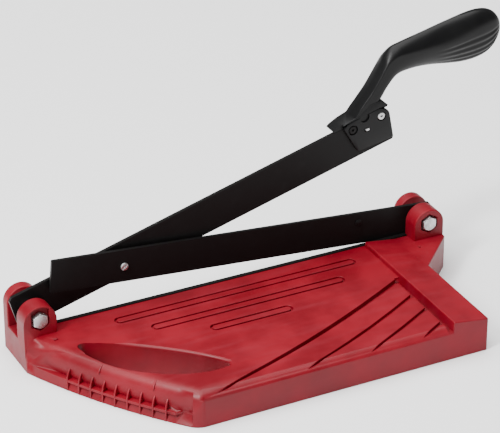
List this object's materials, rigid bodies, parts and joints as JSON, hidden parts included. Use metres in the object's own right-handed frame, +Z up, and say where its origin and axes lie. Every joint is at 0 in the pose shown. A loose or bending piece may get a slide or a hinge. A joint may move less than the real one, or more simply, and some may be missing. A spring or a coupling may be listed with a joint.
{
  "type": "tile cutter",
  "caption": "Bench guillotine for floor tiles: a moulded table with a fence, a long hand lever and a shear blade that the lever pulls down through a link screw.",
  "frame": {"origin": "centre of the overall box, on the bench plane, with the lever half open as at rest", "axes": "+X along the cut from the link end to the fence and handle end, +Y away from the operator's side, +Z up"},
  "size_m": [0.4892, 0.2044, 0.2394],
  "materials": {
    "red_plastic": "satin moulded, lightly mottled",
    "black_steel": "satin black paint on flat steel",
    "black_plastic": "fine moulded texture",
    "zinc_steel": "bright zinc plate"
  },
  "bodies": {
    "base": {"base_body": "red_plastic", "lower_blade": "black_steel", "lower_blade_screw_1": "zinc_steel", "lower_blade_screw_2": "zinc_steel", "lower_blade_screw_3": "zinc_steel", "lower_blade_screw_4": "zinc_steel", "left_pivot_bolt": "zinc_steel", "left_pivot_washer": "zinc_steel", "left_pivot_nut": "zinc_steel", "right_pivot_bolt": "zinc_steel", "right_pivot_washer": "zinc_steel", "right_pivot_nut": "zinc_steel", "left_front_spacer": "zinc_steel", "left_back_spacer": "zinc_steel", "right_back_spacer": "zinc_steel"},
    "lever": {"lever_arm": "black_steel", "handle_body": "black_plastic", "handle_front_cheek": "black_plastic", "handle_screw_inner": "black_steel", "handle_nut_inner": "zinc_steel", "handle_screw_outer": "zinc_steel", "handle_nut_outer": "zinc_steel"},
    "blade": {"upper_blade": "black_steel", "blade_rivet": "black_steel", "link_screw": "zinc_steel", "link_spacer": "zinc_steel", "link_washer": "zinc_steel", "link_nut": "zinc_steel"}
  },
  "joints": [
    {"name": "lever_pivot", "type": "hinge", "parent": "base", "child": "lever", "pos_m": [-0.22647, 0.0716, 0.0475], "axis": [0, -1, 0], "range_deg": [-16.5, 12]},
    {"name": "blade_pivot", "type": "hinge", "parent": "base", "child": "blade", "pos_m": [0.16153, 0.0653, 0.0475], "axis": [0, 1, 0], "range_deg": [-5.2, 3.8]}
  ],
  "couplings": [
    {"joint": "blade_pivot", "follows": "lever_pivot", "ratio": 0.31}
  ]
}
